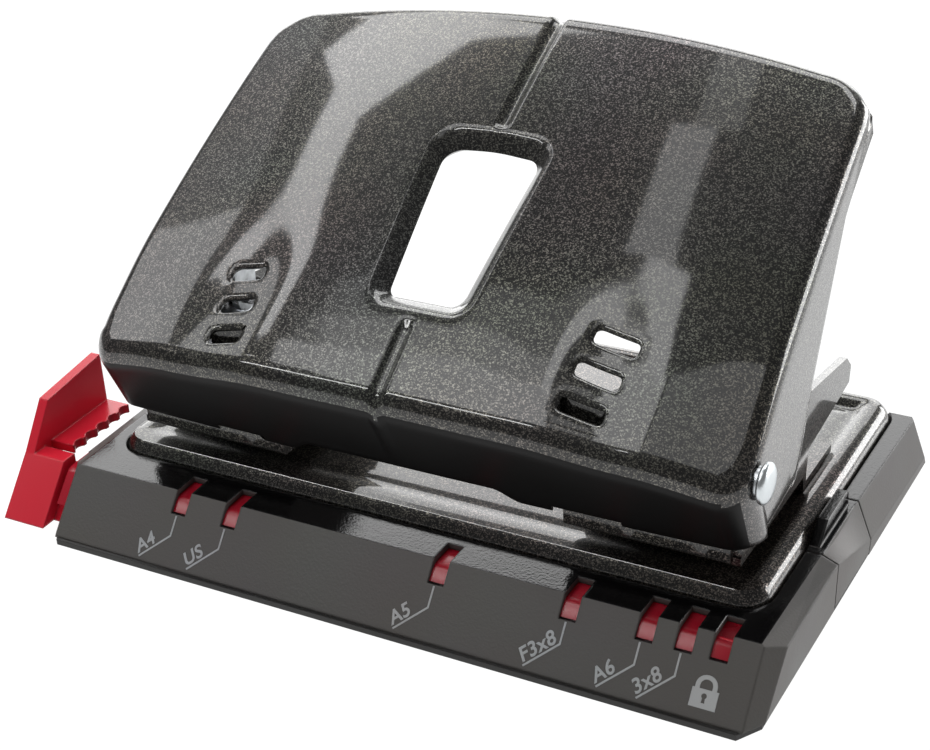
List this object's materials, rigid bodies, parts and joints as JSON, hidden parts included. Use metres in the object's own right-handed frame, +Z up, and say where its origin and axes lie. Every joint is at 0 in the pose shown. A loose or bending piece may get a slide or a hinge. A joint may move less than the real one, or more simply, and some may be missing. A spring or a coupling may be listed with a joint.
{
  "type": "two-hole desk punch",
  "caption": "Manual two-hole desk punch: pressed lever with a cut-out over two sprung punches, base pan in a low tray, sliding paper guide and chip door.",
  "frame": {"origin": "middle of the tray's length and depth, on its flat underside", "axes": "+X to the right along the tray, +Y to the rear, where the lever opens, +Z up"},
  "size_m": [0.1226, 0.0762, 0.0677],
  "materials": {
    "lever_paint": "satin metallic",
    "base_paint": "satin metallic",
    "tray_plastic": "fine texture",
    "cover_plastic": "matte",
    "guide_plastic": "semi-gloss",
    "zinc": "zinc plated",
    "punch_steel": "ground",
    "spring_steel": "drawn wire"
  },
  "bodies": {
    "base": {"tray_frame": "tray_plastic", "bottom_cover": "cover_plastic", "door_hinge_pin": "zinc", "base_plate": "base_paint", "punch_bracket_left": "base_paint", "punch_bracket_right": "base_paint", "bracket_rivets_left": "zinc", "bracket_rivets_right": "zinc", "pivot_rivet_left": "zinc", "pivot_rivet_right": "zinc", "punch_bush_left": "punch_steel", "punch_bush_right": "punch_steel", "return_spring_left": "spring_steel", "return_spring_right": "spring_steel"},
    "lever_arm": {"lever": "lever_paint", "drive_yoke_left": "zinc", "drive_yoke_right": "zinc", "drive_pin_left": "punch_steel", "drive_pin_right": "punch_steel", "pivot_washer_left": "zinc", "pivot_washer_right": "zinc"},
    "punch_left": {"punch_pin_left": "punch_steel", "spring_seat_left": "zinc"},
    "punch_right": {"punch_pin_right": "punch_steel", "spring_seat_right": "zinc"},
    "guide": {"paper_guide": "guide_plastic"},
    "door": {"chip_door": "tray_plastic"}
  },
  "joints": [
    {"name": "lever_hinge", "type": "hinge", "parent": "base", "child": "lever_arm", "pos_m": [0, -0.0228, 0.0288], "axis": [-1, 0, 0], "range_deg": [0, 27], "stiffness_Nm_per_rad": 0.8, "springref_deg": -17.76},
    {"name": "punch_left_slide", "type": "slide", "parent": "base", "child": "punch_left", "axis": [0, 0, -1], "range_m": [0, 0.0068], "deforming": ["return_spring_left"]},
    {"name": "punch_right_slide", "type": "slide", "parent": "base", "child": "punch_right", "axis": [0, 0, -1], "range_m": [0, 0.0068], "deforming": ["return_spring_right"]},
    {"name": "guide_slide", "type": "slide", "parent": "base", "child": "guide", "axis": [-1, 0, 0], "range_m": [0, 0.0849]},
    {"name": "door_hinge", "type": "hinge", "parent": "base", "child": "door", "pos_m": [0.0556, 0, 0.0024], "axis": [0, 1, 0], "range_deg": [0, 70]}
  ],
  "couplings": [
    {"joint": "punch_left_slide", "follows": "lever_hinge", "m_per_rad": 0.014267},
    {"joint": "punch_right_slide", "follows": "lever_hinge", "m_per_rad": 0.014267}
  ]
}
